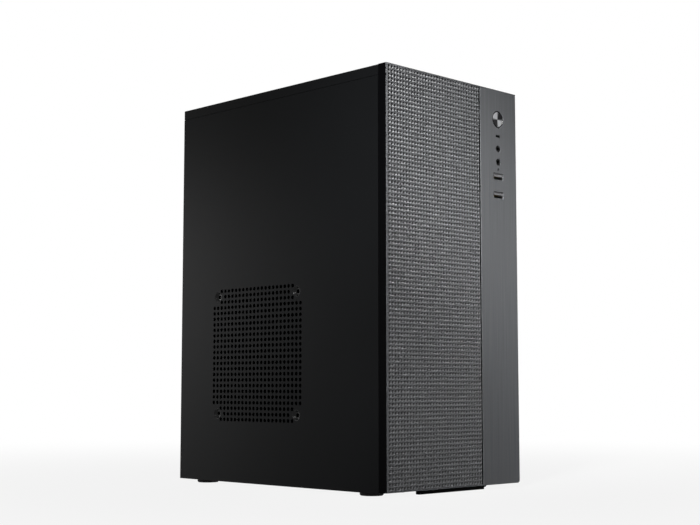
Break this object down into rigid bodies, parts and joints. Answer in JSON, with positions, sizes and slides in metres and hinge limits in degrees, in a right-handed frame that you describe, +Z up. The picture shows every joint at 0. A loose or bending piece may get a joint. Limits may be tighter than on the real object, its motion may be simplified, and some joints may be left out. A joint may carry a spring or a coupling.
{
  "type": "micro ATX computer case",
  "caption": "Small tower computer case with a pitted front panel beside a brushed strip with power button and ports, a perforated side vent and sliding side panels.",
  "frame": {"origin": "on the floor below the middle of the case's box", "axes": "+Z up, front towards -Y, +X to the right seen from the front"},
  "size_m": [0.168, 0.277, 0.3485],
  "materials": {
    "black_steel": "fine matte black powder coat",
    "bezel_plastic": "moulded black plastic, lightly textured",
    "texture_plastic": "satin black plastic moulded in square pits",
    "brushed_plate": "dark grey, fine vertical brushing",
    "button_metal": "spun disc with a radial sheen",
    "ring_plastic": "glossy black",
    "zinc_screw": "zinc-plated",
    "brass": "turned brass",
    "foot_rubber": "matte black rubber",
    "board_laminate": "dark green solder mask",
    "socket_plastic": "black moulded plastic",
    "socket_metal": "bright tinned shell",
    "tongue_plastic": "pale moulded plastic",
    "lens_plastic": "clear light pipe"
  },
  "bodies": {
    "chassis": {"base_panel": "black_steel", "rear_panel": "black_steel", "slot_ledge": "black_steel", "front_frame": "black_steel", "top_panel": "black_steel", "motherboard_tray": "black_steel", "standoffs": "brass", "psu_rail": "black_steel", "drive_cage": "black_steel", "slot_cover_1": "black_steel", "slot_cover_2": "black_steel", "slot_cover_3": "black_steel", "slot_cover_4": "black_steel", "slot_cover_screws": "zinc_screw", "frame_rivets": "zinc_screw", "foot_front_left": "foot_rubber", "foot_front_right": "foot_rubber", "foot_rear_left": "foot_rubber", "foot_rear_right": "foot_rubber"},
    "left_panel": {"left_side_panel": "black_steel", "left_panel_screws": "zinc_screw"},
    "right_panel": {"right_side_panel": "black_steel", "right_panel_screws": "zinc_screw"},
    "front_cover": {"front_bezel": "bezel_plastic", "textured_panel": "texture_plastic", "brushed_strip": "brushed_plate", "button_ring": "ring_plastic", "power_switch": "socket_plastic", "power_light": "lens_plastic", "disk_light": "lens_plastic", "audio_jack_upper": "socket_plastic", "audio_jack_lower": "socket_plastic", "usb_shell_upper": "socket_metal", "usb_shell_lower": "socket_metal", "usb_tongue_upper": "tongue_plastic", "usb_tongue_lower": "tongue_plastic", "port_board": "board_laminate", "port_board_screws": "zinc_screw"},
    "button": {"power_button": "button_metal", "switch_plunger": "socket_plastic"}
  },
  "joints": [
    {"name": "left_panel_slide", "type": "slide", "parent": "chassis", "child": "left_panel", "axis": [0, 1, 0], "range_m": [0, 0.012]},
    {"name": "right_panel_slide", "type": "slide", "parent": "chassis", "child": "right_panel", "axis": [0, 1, 0], "range_m": [0, 0.012]},
    {"name": "front_cover_pull", "type": "slide", "parent": "chassis", "child": "front_cover", "axis": [0, -1, 0], "range_m": [0, 0.03]},
    {"name": "power_button_press", "type": "slide", "parent": "front_cover", "child": "button", "axis": [0, 1, 0], "range_m": [0, 0.0015], "stiffness_N_per_m": 600, "springref_m": -0.0015}
  ]
}
